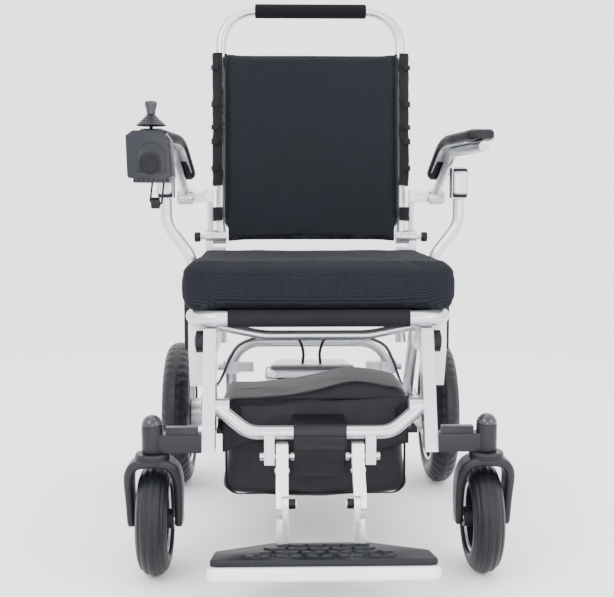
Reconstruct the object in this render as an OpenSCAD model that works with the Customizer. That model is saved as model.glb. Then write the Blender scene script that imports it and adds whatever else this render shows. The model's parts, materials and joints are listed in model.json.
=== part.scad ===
// Folding power wheelchair. X is across the chair, -Y is its front, Z is up and the floor is Z = 0.

/* [Overall] */
// Distance from the centre line to each rear wheel's middle plane
rear_wheel_x = 275; // [270:1:285]
// Distance from the centre line to each caster's kingpin
kingpin_x = 264; // [260:1:270]

/* [Wheels] */
// Radius of the rear tyres
rear_tyre_r = 150; // [140:1:152]
// Width of the rear tyres
rear_tyre_w = 55; // [48:1:56]
// Radius of the caster tyres
caster_r = 90; // [80:1:92]
// Width of the caster tyres
caster_w = 50; // [40:1:54]
// Distance that each caster axle trails behind its kingpin
caster_trail = 30; // [24:1:34]

/* [Seat] */
// Half of the seat cushion's width
cushion_half = 220; // [205:1:222]
// Thickness of the seat cushion
cushion_h = 71; // [50:1:71]
// Radius of the seat frame's tubes
seat_tube_r = 12.5; // [10:0.5:12.5]

/* [Backrest] */
// Angle that the backrest leans back from upright
lean = 6; // [2:1:10]
// Height of the back tubes above their hinge
back_h = 452; // [400:1:470]
// Radius of the back tubes
back_tube_r = 10; // [8:0.5:10]

/* [Footrest] */
// Half of the footplate's width
plate_half = 170; // [150:1:170]
// Angle that the footplate's toe end is raised
toe_angle = 7; // [0:1:9]

/* [Hidden] */
$fn = 64;

silver = "#d5d7da";
black = "#1b1c20";
graphite = "#4b4e57";
white = "#f2f3f4";

run_fit = 0.05;
spigot = 1;
bend_step = 0.15;
seat_z = 412;
rail_x = 205;
front_y = -228;
leg_x = 176;
leg_w = 20;
arm_z = 207;
arm_h = 29;
kingpin_y = -280;
kingpin_r = 8;
caster_axle_y = kingpin_y + caster_trail;
rear_axle_y = 305;
axle_r = 6;
rear_axle_r = 8;
hinge = [0, 190, 528];
hinge_pin_r = 5;
arm_axis = [0, 190, 608];
arm_spigot_r = 9;
hanger_pin = [0, -276, 198];
plate_hinge = [0, -330, 136];
hanger_x = 60;
small_pin_r = 4;
post_y = 80;
bar_tube_r = 11;
pivot = [-266, -222, 699];

// Draws its children on the right and mirrored on the left.
module both() {
    children();
    mirror([1, 0, 0]) children();
}

// Draws its children on one side: 1 is right, -1 is left.
module on_side(side) {
    mirror([side < 0 ? 1 : 0, 0, 0]) children();
}

// A box between two opposite corners.
module block(a, b) {
    translate(a) cube(b - a);
}

// A cylinder along X from x0 to x1.
module along_x(x0, x1, y, z, r) {
    translate([x0, y, z]) rotate([0, 90, 0]) cylinder(r = r, h = x1 - x0);
}

// A YZ outline carried along X from x0 to x1.
module side_profile(x0, x1, points) {
    translate([x0, 0, 0]) rotate([90, 0, 90]) linear_extrude(x1 - x0) polygon(points);
}

function unit(v) = v / norm(v);

// A straight rod between two points.
module rod(a, b, r) {
    d = b - a;
    translate(a)
        rotate([0, acos(d[2] / norm(d)), atan2(d[1], d[0])])
            cylinder(r = r, h = norm(d));
}

// How much of each straight run the bend at corner i takes.
function trim(points, i, bend) =
    i == 0 || i == len(points) - 1 ? 0
    : bend * tan(acos(unit(points[i] - points[i - 1]) * unit(points[i + 1] - points[i])) / 2);

// A round tube through the points, with a bend of the given radius at each inner one. Each straight
// run is a spigot that enters the bend's slightly larger end.
module bent_tube(points, r, bend) {
    last = len(points) - 1;
    for (i = [0 : last - 1]) {
        d = unit(points[i + 1] - points[i]);
        from = i == 0 ? 0 : trim(points, i, bend) - spigot;
        to = i == last - 1 ? 0 : trim(points, i + 1, bend) - spigot;
        rod(points[i] + d * from, points[i + 1] - d * to, r);
    }
    for (i = [1 : last - 1]) {
        u = unit(points[i] - points[i - 1]);
        v = unit(points[i + 1] - points[i]);
        turn = acos(u * v);
        n = unit(v - (u * v) * u);
        c = points[i] - u * trim(points, i, bend) + n * bend;
        w = cross(u, n);
        multmatrix([[-n[0], u[0], w[0], c[0]], [-n[1], u[1], w[1], c[1]], [-n[2], u[2], w[2], c[2]],
                    [0, 0, 0, 1]])
            rotate_extrude(angle = turn) translate([bend, 0]) circle(r = r + bend_step);
    }
}

// Moves its children into the leaning backrest's own frame, whose origin is the hinge.
module in_backrest() {
    translate(hinge) rotate([-lean, 0, 0]) children();
}

// ---- seat ----

module rail_line(side) {
    translate([side * rail_x, -150, seat_z]) rotate([-90, 0, 0]) cylinder(r = seat_tube_r, h = 340);
}

module rail_lines() {
    rail_line(1);
    rail_line(-1);
}

module seat_front_bar() {
    color(silver)
        bent_tube([[-rail_x, -150, seat_z], [-rail_x, front_y, seat_z], [rail_x, front_y, seat_z],
                   [rail_x, -150, seat_z]], seat_tube_r, 45);
}

module seat_rails() {
    color(silver) {
        rail_lines();
        difference() {
            along_x(-rail_x, rail_x, 176, seat_z, back_tube_r);
            rail_lines();
            back_post_lines();
        }
        bent_tube([[-166, -120, 386], [-90, -120, 371], [90, -120, 371], [166, -120, 386]], 8, 120);
    }
}

module seat_sleeve() {
    color(black) difference() {
        along_x(-147, 147, front_y, seat_z, seat_tube_r + 1.6);
        along_x(-148, 148, front_y, seat_z, seat_tube_r);
    }
}

module seat_sling() {
    color(black) block([-190, -212, 407], [190, 160, 426]);
}

module seat_cushion() {
    edge = 20;
    base_z = 427;
    color(black) hull()
        for (x = [-cushion_half + edge, cushion_half - edge], y = [-240 + edge, 176 - edge])
            for (z = [base_z + edge, base_z + cushion_h - edge])
                translate([x, y, z]) sphere(r = edge, $fn = 28);
}

module side_brackets() {
    color(white) both() difference() {
        union() {
            block([166, -184, 352], [214, -105, 406]);
            side_profile(190, 214, [[-184, 353], [-105, 353], [-140, 290], [-160, 290]]);
        }
        rail_lines();
        bent_tube([[-rail_x, -150, seat_z], [-rail_x, front_y, seat_z], [rail_x, front_y, seat_z],
                   [rail_x, -150, seat_z]], seat_tube_r, 45);
    }
}

module side_guards() {
    color(black) both() difference() {
        block([215, -150, 350], [224, 50, 434]);
        rail_lines();
    }
}

// ---- legs and casters ----

module leg_line() {
    side_profile(leg_x - leg_w / 2, leg_x + leg_w / 2,
        [[-292, arm_z], [-252, arm_z], [-185, 395], [-225, 395]]);
}

module front_legs() {
    color(silver) both() leg_line();
}

module leg_bushes() {
    color(black) both() along_x(leg_x + leg_w / 2, leg_x + leg_w / 2 + 13, -208, 372, 18);
}

module caster_arms() {
    housing_r = 16.5;
    color(graphite) both() difference() {
        union() {
            block([leg_x + leg_w / 2, kingpin_y - 12, arm_z], [kingpin_x, kingpin_y + 16, arm_z + arm_h]);
            block([leg_x + leg_w / 2 + 6, kingpin_y - 8, arm_z + arm_h],
                  [kingpin_x - 22, kingpin_y + 8, arm_z + arm_h + 11]);
            translate([kingpin_x, kingpin_y, arm_z]) cylinder(r = housing_r, h = 43);
        }
        translate([kingpin_x, kingpin_y, arm_z - 1]) cylinder(r = kingpin_r + run_fit, h = 40);
    }
}

module kingpin_caps() {
    color(black) both() translate([kingpin_x, kingpin_y, arm_z + 43]) intersection() {
        sphere(r = 16.5);
        cylinder(r = 17, h = 17);
    }
}

module caster_fork(side) {
    leg_in = 32;
    leg_out = 42;
    crown_z = caster_r * 2 + 4;
    color(graphite) on_side(side) {
        translate([kingpin_x, kingpin_y, crown_z]) cylinder(r = kingpin_r, h = 60);
        translate([kingpin_x, kingpin_y, crown_z + 8]) cylinder(r = 27, h = arm_z - crown_z - 9);
        block([kingpin_x - leg_out, kingpin_y - 22, crown_z],
              [kingpin_x + leg_out, kingpin_y + 24, crown_z + 15]);
        for (s = [-1, 1]) {
            x = kingpin_x + s * (leg_in + leg_out) / 2;
            side_profile(x - 5, x + 5, [[kingpin_y - 22, crown_z + 15], [kingpin_y + 24, crown_z + 15],
                [caster_axle_y + 20, 130], [caster_axle_y + 14, 82], [caster_axle_y - 10, 76],
                [caster_axle_y - 18, 130]]);
        }
        along_x(kingpin_x - 43, kingpin_x + 43, caster_axle_y, caster_r, axle_r);
    }
}

// A wheel's tyre, on its own axis along X.
module tyre(x, y, z, r, rim_r, w) {
    flat = w / 2 - 8;
    translate([x, y, z]) rotate([0, 90, 0]) rotate_extrude($fn = 96) difference() {
        union() {
            translate([r - w / 2, 0]) circle(d = w);
            translate([rim_r, -flat]) square([r - w / 2 - rim_r, 2 * flat]);
        }
        translate([rim_r - w, -w]) square([w, 2 * w]);
    }
}

module rim(x, y, z, r, hub_r, bore_r, w, hub_w) {
    translate([x, y, z]) rotate([0, 90, 0]) difference() {
        union() {
            difference() {
                cylinder(r = r, h = w, center = true);
                cylinder(r = r - 7, h = w + 2, center = true);
            }
            cylinder(r = r - 6, h = 8, center = true);
            cylinder(r = hub_r, h = hub_w, center = true);
        }
        cylinder(r = bore_r, h = hub_w + 2, center = true);
    }
}

module caster_rim(side) {
    color(graphite) on_side(side)
        rim(kingpin_x, caster_axle_y, caster_r, 58, 16, axle_r + run_fit, 32, 60);
}

module caster_tyre(side) {
    color(black) on_side(side) tyre(kingpin_x, caster_axle_y, caster_r, caster_r, 58, caster_w);
}

// ---- rear wheels and frame ----

module rear_rim(side) {
    color(graphite) on_side(side)
        rim(rear_wheel_x, rear_axle_y, rear_tyre_r, 104, 64, rear_axle_r + run_fit, 40, 46);
}

module rear_tyre(side) {
    color(black) on_side(side)
        tyre(rear_wheel_x, rear_axle_y, rear_tyre_r, rear_tyre_r, 104, rear_tyre_w);
}

module rear_axles() {
    color(silver) both() {
        along_x(226, 303, rear_axle_y, rear_tyre_r, rear_axle_r);
        along_x(226, 250, rear_axle_y, rear_tyre_r, 30);
    }
}

module rear_side_lines() {
    rod([rail_x, 120, seat_z - 8], [rail_x, 285, 172], bar_tube_r);
}

// The lower rails stop short of the rear side tubes, and the axle plates join the two.
module lower_rail_lines() {
    stop = 512 / 535;
    rod([leg_x, -250, 230], [leg_x + (rail_x - leg_x) * stop, 262, 230 - 58 * stop], bar_tube_r);
}

module axle_plate_blank() {
    side_profile(209, 226, [[235, 160], [262, 135], [330, 125], [335, 175], [300, 200], [235, 196]]);
}

module axle_plates() {
    color(silver) both() difference() {
        axle_plate_blank();
        rear_cross_line();
    }
}

module rear_side_tubes() {
    color(silver) both() difference() {
        rear_side_lines();
        rail_lines();
        axle_plate_blank();
    }
}

module lower_rails() {
    color(silver) both() difference() {
        lower_rail_lines();
        leg_line();
        axle_plate_blank();
    }
}

module rear_cross_line() {
    along_x(-226, 226, 300, rear_tyre_r, bar_tube_r);
}

// The cross tube's open ends are the anti-tip sockets' carriers: each socket is a tube pointing back.
module rear_cross_tube() {
    socket_r = 9;
    color(silver) difference() {
        union() {
            along_x(-226, 226, 300, rear_tyre_r, bar_tube_r);
            both() translate([140, 300, rear_tyre_r]) rotate([-90, 0, 0]) cylinder(r = 13, h = 80);
        }
        both() translate([140, 320, rear_tyre_r]) rotate([-90, 0, 0]) cylinder(r = socket_r, h = 61);
    }
}

module hoop_lines() {
    bent_tube([[-165, 300, rear_tyre_r + 4], [-165, 262, 308], [165, 262, 308],
               [165, 300, rear_tyre_r + 4]], 12, 62);
}

module rear_hoop() {
    color(silver) difference() {
        hoop_lines();
        rear_cross_line();
    }
}

module hoop_clamps() {
    color(silver) both() difference() {
        union() {
            block([149, 258, 240], [181, 294, 266]);
            block([118, 266, 243], [149, 286, 263]);
        }
        hoop_lines();
    }
    color(black) both() along_x(181, 193, 276, 253, 8);
}

module battery_tray() {
    color(graphite) difference() {
        block([-105, 15, 158], [105, 300, 166]);
        rear_cross_line();
    }
    color(graphite) both() difference() {
        union() {
            block([105, 60, 158], [200, 84, 166]);
            block([187, 60, 166], [200, 84, 194]);
        }
        lower_rail_lines();
    }
}

module battery_case() {
    edge = 22;
    color(silver) hull()
        for (x = [-92 + edge, 92 - edge], y = [100 + edge, 235 - edge]) {
            translate([x, y, 166]) cylinder(r = edge, h = 80, $fn = 32);
            translate([x * 0.8, y, 166]) cylinder(r = edge - 4, h = 110, $fn = 32);
        }
}

module motor_controller() {
    color(black) block([-60, 22, 166], [60, 92, 206]);
}

module motor_cables() {
    color(black) both()
        bent_tube([[18, 165, 276], [18, 150, 338], [74, 120, 346], [150, 150, 318], [178, 215, 250],
                   [200, 300, 205]], 3, 14);
}

// ---- bag ----

module storage_bag() {
    edge = 14;
    color(black) hull()
        for (x = [-152 + edge, 152 - edge], y = [-195 + edge, 5 - edge], z = [122 + edge, 290 - edge])
            translate([x, y, z]) sphere(r = edge, $fn = 32);
}

module bag_flap() {
    color(black) difference() {
        union() {
            along_x(-42, 42, -276, 236, 13.5);
            block([-42, -276, 240], [42, -195, 249]);
        }
        along_x(-43, 43, -276, 236, bar_tube_r);
        storage_bag();
    }
}

// ---- footrest ----

module crossbar_lines() {
    bent_tube([[-170, -248, 276], [-112, -276, 236], [112, -276, 236], [170, -248, 276]],
        bar_tube_r, 45);
}

module footrest_crossbar() {
    color(silver) difference() {
        union() {
            crossbar_lines();
            both() along_x(144, 166, -250, 272, 14);
            both() block([72, -288, 186], [88, -264, 234]);
        }
        both() leg_line();
        both() along_x(71, 89, hanger_pin[1], hanger_pin[2], small_pin_r);
    }
}

module hanger_pins() {
    color(silver) both() {
        along_x(46, 88, hanger_pin[1], hanger_pin[2], small_pin_r);
        along_x(88, 95, hanger_pin[1], hanger_pin[2], 7);
        along_x(41, 46, hanger_pin[1], hanger_pin[2], 7);
    }
}

module footrest_hangers() {
    color(silver) both() difference() {
        union() {
            side_profile(50.5, 69.5, [[-288, 219], [-264, 219], [-263, 190], [-310, 150], [-336, 150],
                [-289, 196]]);
            side_profile(60.5, 69.5, [[-310, 150], [-336, 150], [-342, 132], [-336, 124], [-324, 124],
                [-316, 134]]);
        }
        along_x(50, 70, hanger_pin[1], hanger_pin[2], small_pin_r + run_fit);
    }
    color(black) both() {
        along_x(50, 60.5, plate_hinge[1], plate_hinge[2], small_pin_r);
        along_x(38, 50, plate_hinge[1], plate_hinge[2], 7);
    }
}

module in_plate() {
    translate([0, -322, 42]) rotate([-toe_angle, 0, 0]) children();
}

// The footplate's outline, drawn in from its full size by the given distance.
module plate_outline(inset) {
    half = plate_half - inset;
    polygon([[-76 + inset / 2, -inset], [76 - inset / 2, -inset], [half - 4, -64], [half, -124],
             [half - 12, -134 + inset], [-half + 12, -134 + inset], [-half, -124], [-half + 4, -64]]);
}

module footplate_stems() {
    color(silver) both() difference() {
        union() {
            along_x(50.5, 60, plate_hinge[1], plate_hinge[2], 11);
            block([50.5, -341, 108], [60, -319, 136]);
            translate([hanger_x, plate_hinge[1], 60]) cylinder(r = 10, h = 54);
        }
        along_x(50, 61, plate_hinge[1], plate_hinge[2], small_pin_r + run_fit);
        in_plate() linear_extrude(31) plate_outline(0);
        block([40, -360, 40], [80, -300, 60.2]);
    }
}

module footplate() {
    color(silver) in_plate() linear_extrude(21) plate_outline(0);
}

module footplate_pad() {
    color(black) in_plate() translate([0, 0, 21]) linear_extrude(10) plate_outline(5);
}

// ---- backrest ----

module back_post_line(side) {
    translate([side * 181, hinge[1], 316]) cylinder(r = bar_tube_r, h = 188);
}

module back_post_lines() {
    back_post_line(1);
    back_post_line(-1);
}

module back_posts() {
    color(silver) back_post_lines();
}

module back_hinges() {
    color(silver) both() difference() {
        union() {
            block([196, 178, 420], [210, 206, 534]);
            block([170, 178, 488], [196, 202, 508]);
            along_x(196, 210, hinge[1], hinge[2], 14);
            along_x(168, 221, hinge[1], hinge[2], hinge_pin_r);
        }
        rail_lines();
        back_post_lines();
    }
    color(black) both() along_x(221, 231, hinge[1], hinge[2], 8.5);
}

module back_tube_lines() {
    both() translate([179, 0, 10]) cylinder(r = back_tube_r, h = 350);
}

module back_tubes() {
    color(silver) in_backrest() difference() {
        union() {
            back_tube_lines();
            both() along_x(169, 195, 0, 0, 14);
        }
        both() along_x(160, 200, 0, 0, hinge_pin_r + run_fit);
    }
}

module push_hoop() {
    color(silver) in_backrest()
        bent_tube([[-179, 0, 360], [-179, 0, back_h], [179, 0, back_h], [179, 0, 360]],
            back_tube_r, 68);
}

module push_grip() {
    color(black) in_backrest() difference() {
        along_x(-111, 111, 0, back_h, 14);
        along_x(-112, 112, 0, back_h, back_tube_r);
    }
}

module back_panel() {
    front = -26;
    rear = -10.4;
    color(black) in_backrest() {
        difference() {
            block([-178, front, -16], [178, rear, 366]);
            both() block([166, front - 1, -17], [179, rear + 1, 24]);
        }
        both() block([178, front + 6, 34], [197, -11, 56]);
        both() block([178, front + 6, 104], [197, -11, 362]);
        both() block([190, -11, 104], [197, 6, 362]);
    }
}

// ---- armrests ----

module armrest_mounts() {
    color(silver) both() {
        difference() {
            block([196, 206, 440], [208, 218, 622]);
            rail_lines();
        }
        block([196, 178, 596], [213, 206, 622]);
        along_x(213, 232, arm_axis[1], arm_axis[2], 11);
        along_x(232, 264, arm_axis[1], arm_axis[2], arm_spigot_r);
        along_x(264, 267, arm_axis[1], arm_axis[2], 12);
    }
}

module post_lines() {
    bent_tube([[229, post_y, 398], [229, post_y, 494], [276, post_y, 556], [276, post_y, 640]],
        10.5, 50);
}

module armrest_posts() {
    color(silver) both() {
        post_lines();
        difference() {
            block([208, post_y - 14, 398], [240, post_y + 14, 424]);
            rail_lines();
            post_lines();
        }
    }
    color(black) both() difference() {
        block([261, post_y - 15, 604], [291, post_y + 15, 662]);
        post_lines();
    }
}

function arm_points() = [[248, 190, 612], [262, 70, 690], [276, -165, 690]];

module armrest(side) {
    color(silver) on_side(side) difference() {
        union() {
            along_x(234, 263, arm_axis[1], arm_axis[2], 16);
            bent_tube(arm_points(), 9, 90);
        }
        along_x(230, 268, arm_axis[1], arm_axis[2], arm_spigot_r + run_fit);
    }
}

module pad_station(p) {
    translate(p - [22, 5, 10.5]) cube([44, 10, 21]);
}

module arm_pad(side) {
    stations = [[247, 168, 646], [258, 92, 701], [262, 50, 710], [276, -160, 710]];
    color(black) on_side(side)
        for (i = [0 : 2])
            hull() {
                pad_station(stations[i]);
                pad_station(stations[i + 1]);
            }
}

// ---- controller ----

module controller_housing() {
    color(graphite) difference() {
        union() {
            hull() {
                translate([0, -172, 0]) rotate([90, 0, 0]) linear_extrude(78)
                    polygon([[-299, 636], [-236, 636], [-233, 640], [-237, 698], [-246, 710],
                             [-292, 710], [-303, 702], [-301, 640]]);
            }
            block([-292, -250, 629], [-240, -168, 636]);
            block([-288, -176, 629], [-262, -164, 698]);
        }
        block([-290, -246, 681], [-246.5, -198, 706]);
        translate([pivot[0], pivot[1], 700]) cylinder(r = 13, h = 20);
        for (i = [0 : 2]) translate([-290 + 16 * i, -185, 696]) cylinder(r = 4 + run_fit, h = 20);
        translate([-266, -244, 656]) rotate([90, 0, 0]) cylinder(r = 11, h = 10);
        on_side(-1) bent_tube(arm_points(), 9, 90);
    }
}

module controller_fittings() {
    color(black) {
        translate([-266, -244, 656]) rotate([90, 0, 0]) difference() {
            cylinder(r = 11, h = 8);
            translate([0, 0, 3]) cylinder(r = 8, h = 10);
        }
        difference() {
            bent_tube([[-264, -232, 629], [-268, -232, 598], [-250, -232, 594], [-246, -232, 629]],
                1.6, 5);
            along_x(-266, -253, -232, 597, 9);
        }
        along_x(-266, -253, -232, 597, 9);
    }
}

module joystick_base() {
    color(black) translate(pivot) difference() {
        union() {
            block([-19, -12, -18], [19, 12, -14]);
            for (s = [-1, 1]) block([s * 16 - 3, -5, -14], [s * 16 + 3, 5, 5]);
        }
        along_x(-30, 30, 0, 0, 2.5 + run_fit);
    }
}

module joystick_gimbal() {
    color(silver) translate(pivot) difference() {
        union() {
            translate([0, 0, -3]) cylinder(r = 10, h = 6);
            along_x(-18.8, 18.8, 0, 0, 2.5);
        }
        translate([0, 0, -4]) cylinder(r = 7, h = 8);
        translate([0, -12, 0]) rotate([-90, 0, 0]) cylinder(r = 2 + run_fit, h = 24);
    }
}

module joystick_stick() {
    color(black) translate(pivot) {
        translate([0, -9.8, 0]) rotate([-90, 0, 0]) cylinder(r = 2, h = 19.6);
        translate([0, 0, -3]) cylinder(r = 3, h = 30);
        translate([0, 0, 19]) cylinder(r1 = 25, r2 = 8, h = 17);
        translate([0, 0, 36]) cylinder(r1 = 7, r2 = 10, h = 23);
    }
}

module controller_button(i) {
    color(silver) translate([-290 + 16 * i, -185, 700]) cylinder(r = 4, h = 12.5);
}

seat_front_bar();
seat_rails();
seat_sleeve();
seat_sling();
seat_cushion();
side_brackets();
side_guards();
front_legs();
leg_bushes();
caster_arms();
kingpin_caps();
caster_fork(-1);  // caster_fork_left
caster_fork(1);  // caster_fork_right
caster_rim(-1);  // caster_rim_left
caster_rim(1);  // caster_rim_right
caster_tyre(-1);  // caster_tyre_left
caster_tyre(1);  // caster_tyre_right
rear_rim(-1);  // rear_rim_left
rear_rim(1);  // rear_rim_right
rear_tyre(-1);  // rear_tyre_left
rear_tyre(1);  // rear_tyre_right
rear_axles();
axle_plates();
rear_side_tubes();
lower_rails();
rear_cross_tube();
rear_hoop();
hoop_clamps();
battery_tray();
battery_case();
motor_controller();
motor_cables();
storage_bag();
bag_flap();
footrest_crossbar();
hanger_pins();
footrest_hangers();
footplate_stems();
footplate();
footplate_pad();
back_posts();
back_hinges();
back_tubes();
push_hoop();
push_grip();
back_panel();
armrest_mounts();
armrest_posts();
armrest(-1);  // armrest_left
armrest(1);  // armrest_right
arm_pad(-1);  // arm_pad_left
arm_pad(1);  // arm_pad_right
controller_housing();
controller_fittings();
joystick_base();
joystick_gimbal();
joystick_stick();
controller_button(0);  // power_button
controller_button(1);  // speed_button
controller_button(2);  // horn_button
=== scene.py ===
"""The power wheelchair's looks: soft goods, tyres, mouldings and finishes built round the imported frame.

Everything is in metres in the frame's own axes: +X across the chair, -Y its front and Z up.
"""

import json
import logging
import math

from dataclasses import dataclass, field
from enum import Enum
from typing import Callable, Iterable, Sequence

import bmesh
import bpy
from mathutils import Matrix, Vector, noise

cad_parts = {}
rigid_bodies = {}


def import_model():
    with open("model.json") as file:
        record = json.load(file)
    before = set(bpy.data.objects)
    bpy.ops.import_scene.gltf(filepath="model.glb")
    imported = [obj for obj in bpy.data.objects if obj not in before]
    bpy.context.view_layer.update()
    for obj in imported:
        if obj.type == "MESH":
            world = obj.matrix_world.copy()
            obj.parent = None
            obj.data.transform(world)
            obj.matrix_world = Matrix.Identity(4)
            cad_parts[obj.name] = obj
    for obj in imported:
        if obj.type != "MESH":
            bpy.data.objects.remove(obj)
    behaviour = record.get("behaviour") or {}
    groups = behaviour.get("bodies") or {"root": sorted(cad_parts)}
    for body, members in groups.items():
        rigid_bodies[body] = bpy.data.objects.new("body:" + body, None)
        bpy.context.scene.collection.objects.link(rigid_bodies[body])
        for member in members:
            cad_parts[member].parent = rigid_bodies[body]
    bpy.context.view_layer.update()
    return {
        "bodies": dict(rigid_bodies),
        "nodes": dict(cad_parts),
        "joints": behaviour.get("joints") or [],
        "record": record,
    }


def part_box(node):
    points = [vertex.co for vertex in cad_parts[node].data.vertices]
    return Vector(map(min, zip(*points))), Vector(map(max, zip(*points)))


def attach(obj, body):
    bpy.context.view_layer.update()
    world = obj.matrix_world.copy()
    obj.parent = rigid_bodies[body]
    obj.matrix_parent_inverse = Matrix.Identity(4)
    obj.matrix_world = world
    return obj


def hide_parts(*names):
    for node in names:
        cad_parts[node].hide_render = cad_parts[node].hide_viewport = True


LOG = logging.getLogger("wheelchair")
TAU = 2 * math.pi
SIDES = ((-1, "left"), (1, "right"))
Point = tuple[float, float, float]
Ring = list[Point]
Section = Callable[[float, float], tuple[float, float]]


# ---- shader expressions ----


class Signal:
    """A shader socket that arithmetic works on: each operator adds a Math node."""

    def __init__(self, tree: bpy.types.NodeTree, socket: bpy.types.NodeSocket) -> None:
        """Wraps one output socket of a tree."""
        self.tree = tree
        self.socket = socket

    def _math(self, operation: str, *values: "Signal | float") -> "Signal":
        """Adds a Math node and returns its output."""
        node = self.tree.nodes.new("ShaderNodeMath")
        node.operation = operation
        for slot, value in zip(node.inputs, values):
            if isinstance(value, Signal):
                self.tree.links.new(value.socket, slot)
            else:
                slot.default_value = value
        return Signal(self.tree, node.outputs[0])

    def __add__(self, other: "Signal | float") -> "Signal":
        """Adds."""
        return self._math("ADD", self, other)

    __radd__ = __add__

    def __mul__(self, other: "Signal | float") -> "Signal":
        """Multiplies."""
        return self._math("MULTIPLY", self, other)

    __rmul__ = __mul__

    def __sub__(self, other: "Signal | float") -> "Signal":
        """Subtracts."""
        return self._math("SUBTRACT", self, other)

    def __rsub__(self, other: float) -> "Signal":
        """Subtracts from a number."""
        return self._math("SUBTRACT", other, self)

    def sine(self) -> "Signal":
        """The sine, in radians."""
        return self._math("SINE", self)

    def clamped(self) -> "Signal":
        """The value held between 0 and 1."""
        return self._math("MINIMUM", self._math("MAXIMUM", self, 0.0), 1.0)


class Grain(Enum):
    """What a finish's fine surface is like."""

    SATIN_COAT = "satin coat"
    POWDER = "powder coat"
    MOULDED = "moulded plastic"
    RUBBER = "rubber"
    SPACER_MESH = "spacer mesh"
    NYLON = "coated nylon"
    FOAM = "foam"
    BRUSHED = "brushed"


@dataclass(frozen=True)
class Finish:
    """One surface finish.

    Args:
        name: The material's name.
        slot: The record's material slot; not used.
        color: Linear base colour.
        worn: Linear colour that it varies towards.
        roughness: Mean roughness.
        metallic: 0 or 1.
        grain: The fine surface.
        coat: Clear coat weight.
        sheen: Fabric sheen weight.
        gloss: Specular level.
    """

    name: str
    slot: str
    color: tuple[float, float, float]
    worn: tuple[float, float, float]
    roughness: float
    grain: Grain
    metallic: float = 0.0
    coat: float = 0.0
    sheen: float = 0.0
    gloss: float = 0.4

    def _node(self, tree: bpy.types.NodeTree, kind: str, settings: dict, inputs: dict) -> bpy.types.Node:
        """Adds a node.

        Args:
            tree: The material's tree.
            kind: The node's type.
            settings: Attributes, which are set first.
            inputs: Values or Signals for its sockets.

        Returns:
            The node.
        """
        node = tree.nodes.new(kind)
        for key, value in settings.items():
            setattr(node, key, value)
        for key, value in inputs.items():
            if isinstance(value, Signal):
                tree.links.new(value.socket, node.inputs[key])
            else:
                node.inputs[key].default_value = value
        return node

    def _noise(self, tree: bpy.types.NodeTree, place: Signal, scale: float, detail: float = 3.0) -> Signal:
        """Noise over the object's own coordinates, from 0 to 1."""
        node = self._node(tree, "ShaderNodeTexNoise", {},
                          {"Vector": place, "Scale": scale, "Detail": detail})
        return Signal(tree, node.outputs[0])

    def _waves(self, tree: bpy.types.NodeTree, place: Signal, along: Point, pitch: float) -> Signal:
        """A sine along a direction, with one wave a pitch."""
        dot = self._node(tree, "ShaderNodeVectorMath", {"operation": "DOT_PRODUCT"}, {0: place, 1: along})
        return (Signal(tree, dot.outputs["Value"]) * (TAU / pitch)).sine()

    def _relief(self, tree: bpy.types.NodeTree, place: Signal) -> tuple[Signal, float]:
        """The fine height, from 0 to 1, and how deep it is in metres."""
        if self.grain is Grain.SPACER_MESH:
            rising = self._waves(tree, place, (1, 1, 1), 0.0062)
            cells = rising * self._waves(tree, place, (1, -2, -1), 0.0062)
            return (cells * 0.9 + 0.45).clamped(), 0.0016
        if self.grain is Grain.NYLON:
            warp = self._waves(tree, place, (1, 0.3, 0), 0.0016)
            weave = warp * self._waves(tree, place, (0, 0.4, 1), 0.0016)
            return weave * 0.2 + self._noise(tree, place, 18.0) * 0.8, 0.0014
        if self.grain is Grain.BRUSHED:
            return self._noise(tree, place, 900.0, 1.0), 0.00005
        depths = {
            Grain.SATIN_COAT: (420.0, 0.00006),
            Grain.POWDER: (750.0, 0.00022),
            Grain.MOULDED: (1300.0, 0.00018),
            Grain.RUBBER: (500.0, 0.00025),
            Grain.FOAM: (1500.0, 0.0005),
        }
        scale, depth = depths[self.grain]
        return self._noise(tree, place, scale), depth

    def material(self) -> bpy.types.Material:
        """Builds the material, once for each finish."""
        found = bpy.data.materials.get(self.name)
        if found:
            return found
        made = bpy.data.materials.new(self.name)
        made.use_nodes = True
        tree = made.node_tree
        shader = tree.nodes["Principled BSDF"]
        place = Signal(tree, self._node(tree, "ShaderNodeTexCoord", {}, {}).outputs["Object"])
        clouds = self._noise(tree, place, 9.0, 5.0)
        relief, depth = self._relief(tree, place)
        share = 0.25 if self.grain is Grain.SPACER_MESH else 0.6
        amount = clouds * share + relief * (1.1 - share) - 0.1
        mix = self._node(tree, "ShaderNodeMix", {"data_type": "RGBA"}, {0: amount.clamped()})
        mix.inputs[6].default_value = (*self.color, 1)
        mix.inputs[7].default_value = (*self.worn, 1)
        tree.links.new(mix.outputs[2], shader.inputs["Base Color"])
        rough = clouds * 0.12 + relief * 0.08 + (self.roughness - 0.1)
        tree.links.new(rough.clamped().socket, shader.inputs["Roughness"])
        bump = self._node(tree, "ShaderNodeBump", {},
                          {"Height": relief, "Distance": depth, "Strength": 0.8})
        tree.links.new(bump.outputs[0], shader.inputs["Normal"])
        shader.inputs["Metallic"].default_value = self.metallic
        shader.inputs["Coat Weight"].default_value = self.coat
        shader.inputs["Sheen Weight"].default_value = self.sheen
        shader.inputs["Specular IOR Level"].default_value = self.gloss
        return made


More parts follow.
